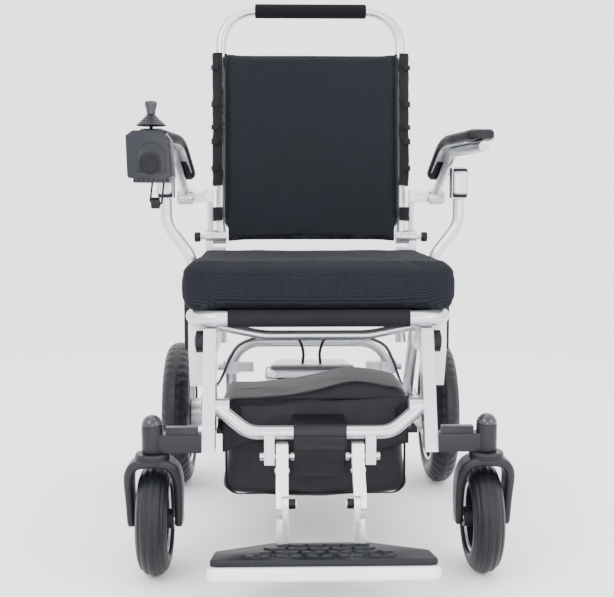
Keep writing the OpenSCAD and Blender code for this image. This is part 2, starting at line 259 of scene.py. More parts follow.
SILVER = Finish("silver_coat", "silver_frame", (0.52, 0.535, 0.565), (0.63, 0.64, 0.665), 0.3,
                Grain.SATIN_COAT, metallic=0.85, coat=0.2)
PLATE_SILVER = Finish("plate_silver", "silver_frame", (0.76, 0.77, 0.78), (0.84, 0.85, 0.86), 0.42,
                      Grain.SATIN_COAT, metallic=0.45, coat=0.2)
WHITE = Finish("white_gloss", "white_paint", (0.80, 0.81, 0.82), (0.88, 0.88, 0.89), 0.3,
               Grain.SATIN_COAT, coat=0.3)
GRAPHITE = Finish("graphite_coat", "graphite_paint", (0.008, 0.0085, 0.0112), (0.014, 0.0147, 0.0185), 0.4,
                  Grain.POWDER, coat=0.05, gloss=0.22)
STEEL = Finish("machined_steel", "steel", (0.5, 0.5, 0.52), (0.66, 0.66, 0.68), 0.3,
               Grain.BRUSHED, metallic=1.0)
BLACK_PLASTIC = Finish("black_moulding", "black_plastic", (0.003, 0.0032, 0.0045), (0.008, 0.0085, 0.011),
                       0.4,
                       Grain.MOULDED, gloss=0.2)
GLOSS_BLACK = Finish("gloss_cap", "black_plastic", (0.005, 0.006, 0.011), (0.013, 0.014, 0.02), 0.14,
                     Grain.MOULDED, coat=0.45)
GREY_PLASTIC = Finish("grey_moulding", "grey_plastic", (0.10, 0.105, 0.12), (0.17, 0.175, 0.19), 0.45,
                      Grain.MOULDED)
SHELL_GREY = Finish("controller_shell", "graphite_paint", (0.008, 0.0085, 0.013), (0.014, 0.0145, 0.02),
                    0.32,
                    Grain.MOULDED, coat=0.05, gloss=0.25)
TYRE = Finish("tyre_compound", "tyre_rubber", (0.0035, 0.004, 0.0055), (0.011, 0.012, 0.015), 0.42,
              Grain.RUBBER,
              gloss=0.22)
FOAM = Finish("grip_foam", "foam_grip", (0.003, 0.003, 0.004), (0.009, 0.0095, 0.012), 0.85, Grain.FOAM,
              gloss=0.08)
MESH = Finish("spacer_mesh", "mesh_fabric", (0.0016, 0.002, 0.0032), (0.017, 0.019, 0.027), 0.85,
              Grain.SPACER_MESH, sheen=0.02, gloss=0.15)
NYLON = Finish("bag_nylon", "bag_fabric", (0.0025, 0.0025, 0.004), (0.008, 0.009, 0.013), 0.46,
               Grain.NYLON, gloss=0.35)
BINDING = Finish("edge_binding", "mesh_fabric", (0.003, 0.003, 0.0045), (0.009, 0.009, 0.012), 0.68,
                 Grain.NYLON, gloss=0.2)
CABLE = Finish("cable_sheath", "black_plastic", (0.006, 0.006, 0.010), (0.013, 0.013, 0.018), 0.38,
               Grain.MOULDED)


# ---- mesh making ----


def new_piece(name: str, mesh: bpy.types.Mesh, finish: Finish, body: str,
              smooth: bool = True) -> bpy.types.Object:
    """Makes an object that rides on a body.

    Args:
        name: The piece's name.
        mesh: Its mesh.
        finish: Its finish.
        body: The frame body that it rides on.
        smooth: Whether its faces shade smoothly.

    Returns:
        The object.
    """
    piece = bpy.data.objects.new(name, mesh)
    bpy.context.scene.collection.objects.link(piece)
    mesh.materials.clear()
    mesh.materials.append(finish.material())
    for face in mesh.polygons:
        face.use_smooth = smooth
    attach(piece, body)
    LOG.info("%s rides on %s", name, body)
    return piece


def sharpen(piece: bpy.types.Object, degrees: float = 35.0) -> bpy.types.Object:
    """Keeps edges sharper than an angle crisp under smooth shading.

    Args:
        piece: The piece.
        degrees: The angle between two faces above which their edge stays crisp.

    Returns:
        The same piece.
    """
    limit = math.radians(degrees)
    built = bmesh.new()
    built.from_mesh(piece.data)
    for edge in built.edges:
        edge.smooth = not (len(edge.link_faces) == 2 and edge.calc_face_angle(0) > limit)
    built.to_mesh(piece.data)
    built.free()
    return piece


def loft(rings: Sequence[Ring], closed: bool = False) -> bpy.types.Mesh:
    """Joins rings of equal length into a closed skin.

    Args:
        rings: The rings in order.
        closed: Whether the last ring joins the first, as round a wheel.

    Returns:
        The mesh, capped at both ends unless it is closed.
    """
    built = bmesh.new()
    rows = [[built.verts.new(p) for p in ring] for ring in rings]
    count = len(rings[0])
    pairs = list(zip(rows, rows[1:]))
    if closed:
        pairs.append((rows[-1], rows[0]))
    for near, far in pairs:
        for i in range(count):
            j = (i + 1) % count
            built.faces.new((near[i], near[j], far[j], far[i]))
    if not closed:
        built.faces.new(rows[0][::-1])
        built.faces.new(rows[-1])
    bmesh.ops.recalc_face_normals(built, faces=built.faces)
    mesh = bpy.data.meshes.new("loft")
    built.to_mesh(mesh)
    built.free()
    return mesh


def turned(profile: Sequence[tuple[float, float]], place: Matrix, steps: int = 48) -> bpy.types.Mesh:
    """A turned shape with closed ends.

    Args:
        profile: (radius, height) points about local Z.
        place: Where its own frame stands.
        steps: Sides of each ring.

    Returns:
        The mesh.
    """
    rings = [[place @ Vector((r * math.cos(TAU * i / steps), r * math.sin(TAU * i / steps), h))
              for i in range(steps)] for r, h in profile]
    return loft([[tuple(p) for p in ring] for ring in rings])


def wheel_skin(centre: Vector, section: Section,
               steps: int, points: int) -> bpy.types.Mesh:
    """A tyre or rim skin about an axle along X.

    Args:
        centre: The wheel's centre.
        section: Gives (radius, x offset) from a place round the section, 0 to 1, and the wheel's angle.
        steps: Rings round the wheel.
        points: Points round the section.

    Returns:
        The closed mesh.
    """
    rings = []
    for i in range(steps):
        angle = TAU * i / steps
        ring = []
        for j in range(points):
            radius, across = section(j / points, angle)
            ring.append((centre.x + across, centre.y + radius * math.cos(angle),
                         centre.z + radius * math.sin(angle)))
        rings.append(ring)
    return loft(rings, closed=True)


def smooth_path(points: Sequence[Point], per_span: int = 8) -> list[Vector]:
    """A Catmull-Rom curve through the points.

    Args:
        points: The points that it passes.
        per_span: Steps from one to the next.

    Returns:
        The curve's points.
    """
    knots = [Vector(p) for p in points]
    knots = [2 * knots[0] - knots[1], *knots, 2 * knots[-1] - knots[-2]]
    path = []
    for a, b, c, d in zip(knots, knots[1:], knots[2:], knots[3:]):
        for i in range(per_span):
            t = i / per_span
            path.append(0.5 * (2 * b + (c - a) * t + (2 * a - 5 * b + 4 * c - d) * t * t
                               + (3 * b - a - 3 * c + d) * t ** 3))
    return [*path, knots[-2]]


def swept(path: Sequence[Vector], outline: Sequence[tuple[float, float]],
          up: Vector = Vector((0, 0, 1)), taper: Callable[[float],
                                                          float] = lambda t: 1.0) -> bpy.types.Mesh:
    """Carries an outline along a path.

    Args:
        path: The path's points.
        outline: (across, up) points of the section.
        up: The direction that the section's up leans towards.
        taper: The section's scale at a place from 0 to 1.

    Returns:
        The mesh.
    """
    rings = []
    last = len(path) - 1
    for i, p in enumerate(path):
        ahead = (path[min(i + 1, last)] - path[max(i - 1, 0)]).normalized()
        across = ahead.cross(up).normalized()
        lift = across.cross(ahead)
        size = taper(i / last)
        rings.append([tuple(p + across * (a * size) + lift * (b * size)) for a, b in outline])
    return loft(rings)


def circle_outline(radius: float, steps: int = 12) -> list[tuple[float, float]]:
    """Points of a circle."""
    return [(radius * math.cos(TAU * i / steps), radius * math.sin(TAU * i / steps)) for i in range(steps)]


def slab_outline(width: float, height: float, corner: float, steps: int = 5) -> list[tuple[float, float]]:
    """Points of a rectangle with round corners.

    Args:
        width: Its width.
        height: Its height.
        corner: The corners' radius.
        steps: Steps in each corner.

    Returns:
        (across, up) points in order.
    """
    points = []
    for k, (sx, sy) in enumerate(((1, 1), (-1, 1), (-1, -1), (1, -1))):
        for i in range(steps + 1):
            angle = math.pi / 2 * (k + i / steps)
            points.append((sx * (width / 2 - corner) + corner * math.cos(angle),
                           sy * (height / 2 - corner) + corner * math.sin(angle)))
    return points


def soft_block(low: Vector, high: Vector, corner: float, cell: float) -> bpy.types.Mesh:
    """A box with rounded edges, cut into cells fine enough to bend.

    Args:
        low: Its lowest corner.
        high: Its highest corner.
        corner: The edges' radius.
        cell: The cells' size.

    Returns:
        The mesh.
    """
    built = bmesh.new()
    size = high - low
    counts = [max(2, round(size[k] / cell)) for k in range(3)]
    seen: dict[tuple[int, int, int], bmesh.types.BMVert] = {}

    def vertex(key: tuple[int, int, int]) -> bmesh.types.BMVert:
        """The vertex at a grid place on the box's surface."""
        if key not in seen:
            p = Vector([low[k] + size[k] * key[k] / counts[k] for k in range(3)])
            core = Vector([min(max(p[k], low[k] + corner), high[k] - corner) for k in range(3)])
            out = p - core
            seen[key] = built.verts.new(core + out.normalized() * corner if out.length else p)
        return seen[key]

    for axis in range(3):
        u, v = (axis + 1) % 3, (axis + 2) % 3
        for side in (0, counts[axis]):
            for i in range(counts[u]):
                for j in range(counts[v]):
                    corners = []
                    for di, dj in ((0, 0), (1, 0), (1, 1), (0, 1)):
                        key = [0, 0, 0]
                        key[axis], key[u], key[v] = side, i + di, j + dj
                        corners.append(vertex(tuple(key)))
                    built.faces.new(corners if side else corners[::-1])
    bmesh.ops.recalc_face_normals(built, faces=built.faces)
    mesh = bpy.data.meshes.new("soft_block")
    built.to_mesh(mesh)
    built.free()
    return mesh


def reshape(mesh: bpy.types.Mesh, move: Callable[[Vector], Vector]) -> bpy.types.Mesh:
    """Moves each vertex to where a rule sends it."""
    for vertex in mesh.vertices:
        vertex.co = move(vertex.co)
    mesh.update()
    return mesh


def subdivided(piece: bpy.types.Object) -> None:
    """Adds one level of subdivision."""
    smooth = piece.modifiers.new("Subdivision", "SUBSURF")
    smooth.levels = smooth.render_levels = 1


def bake_modifiers(piece: bpy.types.Object) -> None:
    """Turns an object's modified shape into its mesh."""
    graph = bpy.context.evaluated_depsgraph_get()
    made = bpy.data.meshes.new_from_object(piece.evaluated_get(graph), depsgraph=graph)
    piece.modifiers.clear()
    finishes = list(piece.data.materials)
    piece.data = made
    made.materials.clear()
    for finish in finishes:
        made.materials.append(finish)
    for face in made.polygons:
        face.use_smooth = True


def inflate(piece: bpy.types.Object, cap: float, voxel: float, low: Vector, high: Vector,
            pressure: float = 4.0) -> None:
    """Swells a closed piece as stuffed fabric by cloth simulation.

    Args:
        piece: The closed piece.
        cap: How far a point may move, in metres.
        voxel: The remesh size in metres.
        low: The lowest corner that it may reach.
        high: The highest corner that it may reach.
        pressure: The pressure inside.
    """
    scene = bpy.context.scene
    remesh = piece.modifiers.new("Remesh", "REMESH")
    remesh.mode = "VOXEL"
    remesh.voxel_size = voxel
    bpy.context.view_layer.update()
    bake_modifiers(piece)
    before = [v.co.copy() for v in piece.data.vertices]
    cloth = piece.modifiers.new("Cloth", "CLOTH")
    cloth.settings.quality = 4
    cloth.settings.mass = 0.3
    cloth.settings.use_pressure = True
    cloth.settings.uniform_pressure_force = pressure
    cloth.settings.effector_weights.gravity = 0
    cloth.settings.tension_stiffness = 12
    cloth.settings.compression_stiffness = 12
    for frame in range(1, 21):
        scene.frame_set(frame)
    bake_modifiers(piece)
    scene.frame_set(1)
    for vertex, start in zip(piece.data.vertices, before):
        step = vertex.co - start
        if step.length > cap:
            step *= cap / step.length
        target = start + step
        vertex.co = [min(max(target[k], low[k]), high[k]) for k in range(3)]
    piece.data.update()


def softened(node: str, body: str, finish: Finish, width: float, segments: int = 2,
             name: str = "") -> bpy.types.Object:
    """A copy of a frame node with its hard edges rounded, standing for that node.

    Args:
        node: The frame node.
        body: The body that it rides on.
        finish: Its finish.
        width: The rounding's width in metres.
        segments: Steps in the rounding.
        name: The piece's name, or the node's with a suffix.

    Returns:
        The piece.
    """
    built = bmesh.new()
    built.from_mesh(bpy.data.objects[node].data)
    bmesh.ops.remove_doubles(built, verts=built.verts, dist=1e-5)
    bmesh.ops.dissolve_limit(built, angle_limit=math.radians(0.6), verts=built.verts, edges=built.edges)
    mesh = bpy.data.meshes.new(node)
    built.to_mesh(mesh)
    built.free()
    piece = new_piece(name or f"{node}_shaped", mesh, finish, body)
    bevel = piece.modifiers.new("Bevel", "BEVEL")
    bevel.width = width
    bevel.segments = segments
    bevel.limit_method = "ANGLE"
    bevel.angle_limit = math.radians(40)
    bpy.context.view_layer.update()
    bake_modifiers(piece)
    sharpen(piece)
    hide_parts(node)
    return piece


def facing(at: Vector, along: Vector) -> Matrix:
    """The place of a shape whose own Z points along a direction."""
    return Matrix.Translation(at) @ along.to_track_quat("Z", "Y").to_matrix().to_4x4()


def bolt(name: str, centre: Vector, along: Vector, radius: float, height: float, body: str,
         finish: Finish = STEEL) -> bpy.types.Object:
    """A button-head screw with a socket.

    Args:
        name: The piece's name.
        centre: The middle of the head's base.
        along: The way that the head points.
        radius: The head's radius.
        height: The head's height.
        body: The body that it rides on.
        finish: Its finish.

    Returns:
        The screw.
    """
    place = facing(centre, along)
    profile = [(radius, 0), (radius, height * 0.35), (radius * 0.86, height * 0.75), (radius * 0.6, height),
               (radius * 0.42, height), (radius * 0.4, height * 0.35), (radius * 0.02, height * 0.3)]
    return sharpen(new_piece(name, turned(profile, place, 24), finish, body), 50)


def mirrored(points: Iterable[Point], side: int) -> list[Point]:
    """The points on one side of the chair."""
    return [(side * x, y, z) for x, y, z in points]


# ---- sub-assemblies ----


@dataclass
class Seat:
    """The cushion, the sling under it and the sleeve on the front bar."""

    corner: float = 0.019
    crown: float = 0.004
    cell: float = 0.012
    spread: float = 1.03

    def build(self) -> None:
        """Builds and dresses the seat."""
        low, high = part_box("seat_cushion")
        inner_low, inner_high = low - Vector((0.004, 0.001, 0.001)), high + Vector((0.004, 0.001, 0.001))
        mesh = soft_block(inner_low, inner_high, self.corner, self.cell)
        cushion = new_piece("cushion_cover", mesh, MESH, "chassis")
        inflate(cushion, 0.012, 0.006, low - Vector((0.009, 0.005, 0.002)),
                high + Vector((0.009, 0.002, 0.006)))
        middle = (low + high) / 2
        half = (high - low) / 2

        def settle(p: Vector) -> Vector:
            """Tucks the seams in, ripples the cover slightly and spreads it a little across."""
            ripple = noise.noise(p * 14) * 0.0012
            tuck = 0.0022 * math.exp(-((p.z - high.z + 0.017) / 0.0022) ** 2)
            tuck += 0.0022 * math.exp(-((p.z - low.z - 0.013) / 0.0022) ** 2)
            out = Vector((p.x - middle.x, (p.y - middle.y) * half.x / half.y, 0)).normalized()
            wall = max(abs(p.x - middle.x) / half.x, abs(p.y - middle.y) / half.y) > 0.93
            moved = p - out * (tuck if wall else 0) + Vector((0, 0, ripple))
            moved.x = middle.x + (moved.x - middle.x) * self.spread
            return moved

        reshape(cushion.data, settle)
        subdivided(cushion)
        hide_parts("seat_cushion")
        self._sling()
        softened("seat_sleeve", "chassis", BINDING, 0.001, 2)

    def _sling(self) -> None:
        """Hangs the sling under the cushion, from rail to rail."""
        low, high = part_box("seat_sling")
        across, along = 40, 30
        sag = high.z - low.z - 0.004
        built = bmesh.new()
        rows = []
        for thick in (0.0, -0.0022):
            for j in range(along + 1):
                row = []
                for i in range(across + 1):
                    u, v = 2 * i / across - 1, j / along
                    drop = sag * (1 - abs(u) ** 2.2) * (0.55 + 0.45 * math.cos(math.pi * (v - 0.1)))
                    ripple = noise.noise(Vector((u * 3, v * 5, 0))) * 0.0015
                    x = low.x + (high.x - low.x) * i / across
                    y = low.y + (high.y - low.y) * v
                    row.append(built.verts.new((x, y, high.z - drop + ripple + thick)))
                rows.append(row)
        half = along + 1
        for base in (0, half):
            for j in range(along):
                for i in range(across):
                    quad = (rows[base + j][i], rows[base + j][i + 1], rows[base + j + 1][i + 1],
                            rows[base + j + 1][i])
                    built.faces.new(quad)
        rim = [rows[0][i] for i in range(across)] + [rows[j][across] for j in range(along)]
        rim += [rows[along][i] for i in range(across, 0, -1)] + [rows[j][0] for j in range(along, 0, -1)]
        under = [rows[half][i] for i in range(across)] + [rows[half + j][across] for j in range(along)]
        under += [rows[half + along][i] for i in range(across, 0, -1)]
        under += [rows[half + j][0] for j in range(along, 0, -1)]
        for i in range(len(rim)):
            j = (i + 1) % len(rim)
            built.faces.new((rim[i], rim[j], under[j], under[i]))
        bmesh.ops.recalc_face_normals(built, faces=built.faces)
        mesh = bpy.data.meshes.new("sling")
        built.to_mesh(mesh)
        built.free()
        sling = new_piece("seat_sling_cloth", mesh, BINDING, "chassis")
        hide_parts("seat_sling")


@dataclass
class Backrest:
    """The mesh panel with its welts and the fabric flaps round the back tubes."""

    hinge: Vector = field(default_factory=lambda: Vector((0, 0.19, 0.528)))
    lean: float = math.radians(6)
    half: float = 0.178
    front: float = -0.0205
    rear: float = -0.0105
    foot: float = -0.014
    head: float = 0.366

    def place(self, p: Vector) -> Vector:
        """Turns a point in the leaning backrest's frame into the chair's."""
        return self.hinge + Matrix.Rotation(-self.lean, 3, "X") @ p

    def build(self) -> None:
        """Builds and dresses the backrest."""
        mesh = soft_block(Vector((-self.half, self.front, self.foot)),
                          Vector((self.half, self.rear, self.head)),
                          0.0048, 0.009)
        panel = new_piece("back_panel_cover", mesh, MESH, "backrest")
        low, high = Vector((-0.182, -0.0262, -0.016)), Vector((0.182, -0.0102, 0.370))
        inflate(panel, 0.006, 0.0045, low, high, 3.0)

        def shape(p: Vector) -> Vector:
            """Presses the welt seams in, rounds the top corners down and creases the panel."""
            q = p.copy()
            if p.y < -0.014:
                for seam in (-0.162, 0.162):
                    q.y += 0.0035 * math.exp(-((p.x - seam) / 0.0028) ** 2)
                q.y += noise.noise(Vector((p.x * 9, 0, p.z * 7))) * 0.0016
                q.y += 0.0022 * (abs(p.x) / self.half) ** 2
            notch = min(1.0, max(0.0, (0.026 - p.z) / 0.008))
            q.x -= math.copysign(max(0.0, abs(p.x) - 0.1645) * notch, p.x)
            edge = max(0.0, abs(p.x) / self.half - 0.9) / 0.1
            q.z -= 0.006 * edge ** 2 * max(0.0, p.z / self.head)
            return self.place(q)

        reshape(panel.data, shape)
        subdivided(panel)
        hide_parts("back_panel")
        for side, word in SIDES:
            self._welt(side, word)
            self._flap(side, word, "upper", 0.102, 0.364)
            self._flap(side, word, "lower", 0.032, 0.058)
            place = facing(Vector((side * 0.2206, 0.19, 0.528)), Vector((side, 0, 0)))
            knob = [(0.001, 0), (0.0094, 0), (0.0102, 0.0012), (0.0102, 0.0098), (0.009, 0.0118),
                    (0.001, 0.0122)]
            sharpen(new_piece(f"hinge_lock_knob_{word}", turned(knob, place, 10), BLACK_PLASTIC, "chassis"))
            self._loops(side, word)
        softened("push_grip", "backrest", FOAM, 0.0035, 3)

    def _loops(self, side: int, word: str) -> None:
        """Buttons short tabs across the flap, which hold it to the tube."""
        for k, z in enumerate((0.135, 0.188, 0.216, 0.262, 0.335)):
            rings = []
            for x, y in ((0.1835, -0.0232), (0.1885, -0.0222), (0.1945, -0.0205), (0.1982, -0.0135),
                         (0.1988, -0.004)):
                rings.append([tuple(self.place(Vector((side * x, y + b, z + a))))
                              for a, b in slab_outline(0.010 + 0.002 * (k % 2), 0.0028, 0.0011, 3)])
            sharpen(new_piece(f"flap_tab_{word}_{k}", loft(rings), BINDING, "backrest"))

    def _welt(self, side: int, word: str) -> None:
        """Sews a corded welt down one edge of the panel."""
        path = [self.place(Vector((side * 0.1685, -0.0225, 0.036 + i * 0.0171))) for i in range(20)]
        new_piece(f"back_welt_{word}",
                  swept(path, circle_outline(0.0027, 10), Vector((0, 1, 0))), BINDING, "backrest")

    def _flap(self, side: int, word: str, label: str, foot: float, head: float) -> None:
        """Wraps a strip of cover round one back tube."""
        rows = max(4, round((head - foot) / 0.009))
        section = [(0.176, -0.0185), (0.186, -0.0195), (0.1935, -0.0175), (0.1962, -0.0115),
                   (0.1968, -0.004),
                   (0.196, 0.004), (0.1925, 0.0105), (0.184, 0.0135), (0.176, 0.0128), (0.176, 0.0108),
                   (0.184, 0.0115), (0.1905, 0.009), (0.1922, 0.003), (0.1922, -0.0085), (0.189, -0.0125),
                   (0.176, -0.0118)]
        rings = []
        for i in range(rows + 1):
            z = foot + (head - foot) * i / rows
            ring = []
            for k, (x, y) in enumerate(section):
                outer = k < 9
                crease = noise.noise(Vector((side * 3, y * 40, z * 34))) * 0.0034 if outer else 0
                gather = 0.0012 * math.exp(-((z - 0.21) / 0.01) ** 2) if outer else 0
                ring.append(tuple(self.place(Vector((side * (x - abs(crease) - gather), y + crease, z)))))
            rings.append(ring)
        flap = new_piece(f"back_flap_{label}_{word}", loft(rings), BINDING, "backrest")
        sharpen(flap, 60)


@dataclass(frozen=True)
class Spoke:
    """One spoke rib: where it runs, its widths and how far it stands.

    Args:
        start: Its inner radius.
        end: Its outer radius.
        hub_width: Its width at the hub.
        rim_width: Its width at the rim.
        stand: How far it stands off the web.
    """

    start: float
    end: float
    hub_width: float
    rim_width: float
    stand: float


@dataclass
class Wheels:
    """Ribbed caster tyres, treaded rear tyres, and the rims' lips, spokes and covers."""

    caster_half: float = 0.025
    caster_lip: float = 0.0555
    caster_spoke: "Spoke" = field(default_factory=lambda: Spoke(0.014, 0.051, 0.0135, 0.011, 0.004))
    rear_half: float = 0.0272
    rear_lip: float = 0.1015
    rear_spoke: "Spoke" = field(default_factory=lambda: Spoke(0.063, 0.097, 0.026, 0.016, 0.008))

    def build(self) -> None:
        """Builds and dresses the four wheels."""
        for side, word in SIDES:
            self._caster(side, word)
            self._rear(side, word)

    def _centre(self, node: str) -> Vector:
        """The middle of a wheel's node."""
        low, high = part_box(node)
        return (low + high) / 2

    def _caster(self, side: int, word: str) -> None:
        """Dresses one caster wheel."""
        centre = self._centre(f"caster_tyre_{word}")
        body = f"{word}_caster_wheel"

        def ribbed(t: float, _: float) -> tuple[float, float]:
            """A round section with ribs round the tread."""
            a = (t - 0.5) * 2 * math.pi
            across = self.caster_half * math.sin(a)
            if abs(a) < 1.75:
                rib = 0.0019 * (0.5 - 0.5 * math.cos(a * 13)) ** 3 if abs(a) < 1.35 else 0.0
                return 0.065 + self.caster_half * math.cos(a) - rib, across
            return max(0.0585, 0.065 + self.caster_half * 0.7 * math.cos(a)), across

        tyre = new_piece(f"caster_tread_{word}", wheel_skin(centre, ribbed, 112, 120), TYRE, body)
        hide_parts(f"caster_tyre_{word}")
        bpy.data.objects[f"caster_rim_{word}"].data.materials.clear()
        bpy.data.objects[f"caster_rim_{word}"].data.materials.append(GRAPHITE.material())
        for face in (-1, 1):
            where = "outer" if face == side else "inner"
            lip = self._lip(self.caster_lip, face * 0.0165, 0.0032)
            new_piece(f"caster_lip_{word}_{where}", wheel_skin(centre, lip, 72, 10), SILVER, body)
            for k in range(5):
                self._spoke(f"caster_spoke_{word}_{where}_{k}", centre, face, TAU * k / 5,
                            self.caster_spoke,
                            body)

    def _lip(self, radius: float, across: float, roll: float) -> Section:
        """The section of a rolled rim edge.

        Args:
            radius: The edge's radius.
            across: How far it stands from the wheel's middle.
            roll: The roll's own radius.

        Returns:
            The section for wheel_skin.
        """
        return lambda t, _: (radius + roll * math.cos(TAU * t), across + roll * math.sin(TAU * t))

    def _spoke(self, name: str, centre: Vector, face: int, angle: float, rib: Spoke, body: str) -> None:
        """Raises one spoke rib on a rim's web."""
        out = Vector((0, math.cos(angle), math.sin(angle)))
        side = Vector((0, -out.z, out.y))
        web = Vector((face, 0, 0))
        rings = []
        for t in (0, 0.15, 0.5, 0.85, 1):
            width = rib.hub_width + (rib.rim_width - rib.hub_width) * t
            width *= 1 - 0.25 * math.sin(math.pi * t)
            middle = centre + out * (rib.start + (rib.end - rib.start) * t) + web * (0.0035 + rib.stand / 2)
            section = slab_outline(width, rib.stand + 0.001, 0.0015, 3)
            rings.append([tuple(middle + side * a + web * b) for a, b in section])
        sharpen(new_piece(name, loft(rings), GRAPHITE, body), 50)

    def _rear(self, side: int, word: str) -> None:
        """Dresses one rear wheel."""
        centre = self._centre(f"rear_tyre_{word}")
        body = f"{word}_rear_wheel"

        def treaded(t: float, angle: float) -> tuple[float, float]:
            """A round section with angled blocks and a centre rib."""
            a = (t - 0.5) * 2 * math.pi
            across = self.rear_half * math.sin(a)
            if abs(a) < 1.9:
                block = math.sin(angle * 44 + abs(a) * 3.2)
                cut = 0.0016 if 0.22 < abs(a) < 1.15 and block > 0.35 else 0.0
                cut += 0.0013 if 0.13 < abs(a) < 0.22 else 0.0
                return 0.1225 + self.rear_half * math.cos(a) - cut, across
            return max(0.1045, 0.1225 + self.rear_half * 0.7 * math.cos(a)), across

        tyre = new_piece(f"rear_tread_{word}", wheel_skin(centre, treaded, 264, 60), TYRE, body)
        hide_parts(f"rear_tyre_{word}")
        rim = bpy.data.objects[f"rear_rim_{word}"]
        rim.data.materials.clear()
        rim.data.materials.append(GRAPHITE.material())
        for face in (-1, 1):
            where = "outer" if face == side else "inner"
            lip = self._lip(self.rear_lip, face * 0.0205, 0.0035)
            new_piece(f"rear_lip_{word}_{where}", wheel_skin(centre, lip, 96, 10), SILVER, body)
        for k in range(6):
            self._spoke(f"rear_spoke_{word}_{k}", centre, side, TAU * k / 6, self.rear_spoke, body)
            angle = TAU * (k + 0.5) / 6
            at = centre + Vector((side * 0.023, 0.047 * math.cos(angle), 0.047 * math.sin(angle)))
            bolt(f"hub_screw_{word}_{k}", at, Vector((side, 0, 0)), 0.0042, 0.0022, body)
        place = facing(centre + Vector((side * 0.0231, 0, 0)), Vector((side, 0, 0)))
        ring = [(0.036, 0), (0.036, 0.0012), (0.033, 0.0022), (0.014, 0.0022), (0.0125, 0.0012),
                (0.0125, 0)]
        new_piece(f"hub_cover_{word}", turned_ring(ring, place), SILVER, body)


def turned_ring(profile: Sequence[tuple[float, float]], place: Matrix, steps: int = 56) -> bpy.types.Mesh:
    """A turned ring from a closed section.

    Args:
        profile: (radius, height) points round the section, about local Z.
        place: Where its own frame stands.
        steps: Sections round the ring.

    Returns:
        The mesh.
    """
    rings = []
    for i in range(steps):
        angle = TAU * i / steps
        rings.append([tuple(place @ Vector((r * math.cos(angle), r * math.sin(angle), h))) for r,
                      h in profile])
    return loft(rings, closed=True)


@dataclass
class Casters:
    """The forks, arms, caps and housing rings over the caster wheels."""

    pin_x: float = 0.264
    pin_y: float = -0.28
    axle_y: float = -0.25
    axle_z: float = 0.09

    def build(self) -> None:
        """Builds and dresses both casters' fittings."""
        softened("caster_arms", "chassis", GRAPHITE, 0.0035, 3)
        for side, word in SIDES:
            self._fork(side, word)
            low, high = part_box(f"caster_tyre_{word}")
            axle = (low + high) / 2
            for face in (-1, 1):
                at = axle + Vector((face * 0.0421, 0, 0))
                where = "outer" if face == side else "inner"
                bolt(f"caster_axle_head_{word}_{where}", at, Vector((face, 0, 0)), 0.0085, 0.004,
                     f"{word}_caster")
            self._rings(side, word)
        softened("kingpin_caps", "chassis", GLOSS_BLACK, 0.001, 2)

    def _fork(self, side: int, word: str) -> None:
        """Casts one fork: a broad shouldered arch from axle to axle, with its collar and pin."""
        x, crown = side * self.pin_x, 0.1915
        half = [(0.0378, -0.250, 0.078, 0.0120, 0.0056), (0.0380, -0.250, 0.086, 0.0165, 0.0064),
                (0.0384, -0.2505, 0.105, 0.0185, 0.0066), (0.0390, -0.254, 0.130, 0.0195, 0.0070),
                (0.0392, -0.262, 0.152, 0.0215, 0.0074), (0.0382, -0.270, 0.168, 0.0230, 0.0078),
                (0.0340, -0.276, 0.181, 0.0240, 0.0080), (0.0270, -0.279, crown - 0.0025, 0.0240, 0.0082),
                (0.0140, -0.280, crown + 0.0008, 0.0240, 0.0078)]
        arch = [*half, (0.0, -0.280, crown + 0.0014, 0.0240, 0.0076),
                *[(-a, *rest) for a, *rest in half[::-1]]]
        rings = []
        for i, (across, y, z, reach, thick) in enumerate(arch):
            ahead, behind = arch[min(i + 1, len(arch) - 1)], arch[max(i - 1, 0)]
            run = Vector((ahead[0] - behind[0], 0, ahead[2] - behind[2])).normalized()
            out = Vector((-run.z, 0, run.x))
            centre = Vector((x + across, y, z))
            rings.append([tuple(centre + out * b + Vector((0, a, 0)))
                          for a, b in slab_outline(reach * 2, thick * 2, thick * 0.8, 4)])
        fork = new_piece(f"fork_arch_{word}", loft(rings), GRAPHITE, f"{word}_caster")
        subdivided(fork)
        place = Matrix.Translation(Vector((x, self.pin_y, 0)))
        collar = [(0.001, 0.19), (0.0268, 0.19), (0.0272, 0.1925), (0.0272, 0.2035), (0.0258, 0.2058),
                  (0.009, 0.2062), (0.0082, 0.2068), (0.0079, 0.2585), (0.001, 0.2585)]
        sharpen(new_piece(f"fork_collar_{word}", turned(collar, place), GRAPHITE, f"{word}_caster"))
        axle = Matrix.Translation(Vector((x - 0.042, self.axle_y,
                                          self.axle_z))) @ Matrix.Rotation(math.pi / 2, 4, "Y")
        pin = [(0.001, 0), (0.0058, 0), (0.006, 0.001), (0.006, 0.083), (0.0058, 0.084), (0.001, 0.084)]
        sharpen(new_piece(f"fork_axle_{word}", turned(pin, axle, 32), STEEL, f"{word}_caster"))
        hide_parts(f"caster_fork_{word}")

    def _rings(self, side: int, word: str) -> None:
        """Turns the two grooved rings round the kingpin, above the fork's crown."""
        for k, z in enumerate((0.1955, 0.1995)):
            place = Matrix.Translation(Vector((side * self.pin_x, self.pin_y, z)))
            ring = [(0.0266, 0), (0.0278, 0.0005), (0.0278, 0.0015), (0.0266, 0.002), (0.025, 0.002),
                    (0.025, 0)]
            new_piece(f"fork_ring_{word}_{k}", turned_ring(ring, place), BLACK_PLASTIC, f"{word}_caster")


